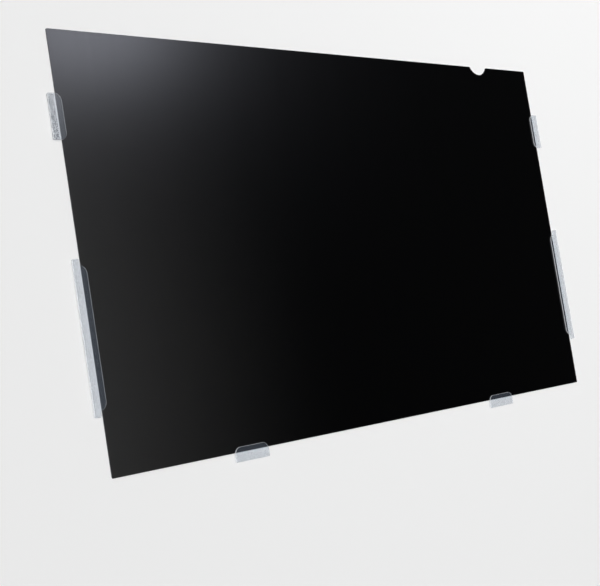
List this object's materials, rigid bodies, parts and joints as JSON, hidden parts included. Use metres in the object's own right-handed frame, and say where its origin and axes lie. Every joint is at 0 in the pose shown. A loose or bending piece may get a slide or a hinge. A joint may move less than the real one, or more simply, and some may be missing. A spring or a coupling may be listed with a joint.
{
  "type": "monitor privacy filter",
  "caption": "Wide dark louvre-film privacy filter with a thumb notch in its top edge, lying flat behind clear slide-mount tabs stuck down by adhesive strips.",
  "frame": {"origin": "centre of the sheet's rear face, the face that lies against the screen", "axes": "+X along the width to the right as the screen is viewed, +Y up the screen, +Z out of the screen towards the viewer"},
  "size_m": [0.545, 0.3058, 0.0018],
  "materials": {
    "louvre_film": "satin black film",
    "clear_plastic": "clear, polished faces",
    "adhesive": "clear, slightly hazy"
  },
  "bodies": {
    "root": {"filter_sheet": "louvre_film", "left_upper_tab": "clear_plastic", "left_upper_adhesive": "adhesive", "left_lower_tab": "clear_plastic", "left_lower_adhesive": "adhesive", "right_upper_tab": "clear_plastic", "right_upper_adhesive": "adhesive", "right_lower_tab": "clear_plastic", "right_lower_adhesive": "adhesive", "bottom_left_tab": "clear_plastic", "bottom_left_adhesive": "adhesive", "bottom_right_tab": "clear_plastic", "bottom_right_adhesive": "adhesive"}
  },
  "joints": []
}
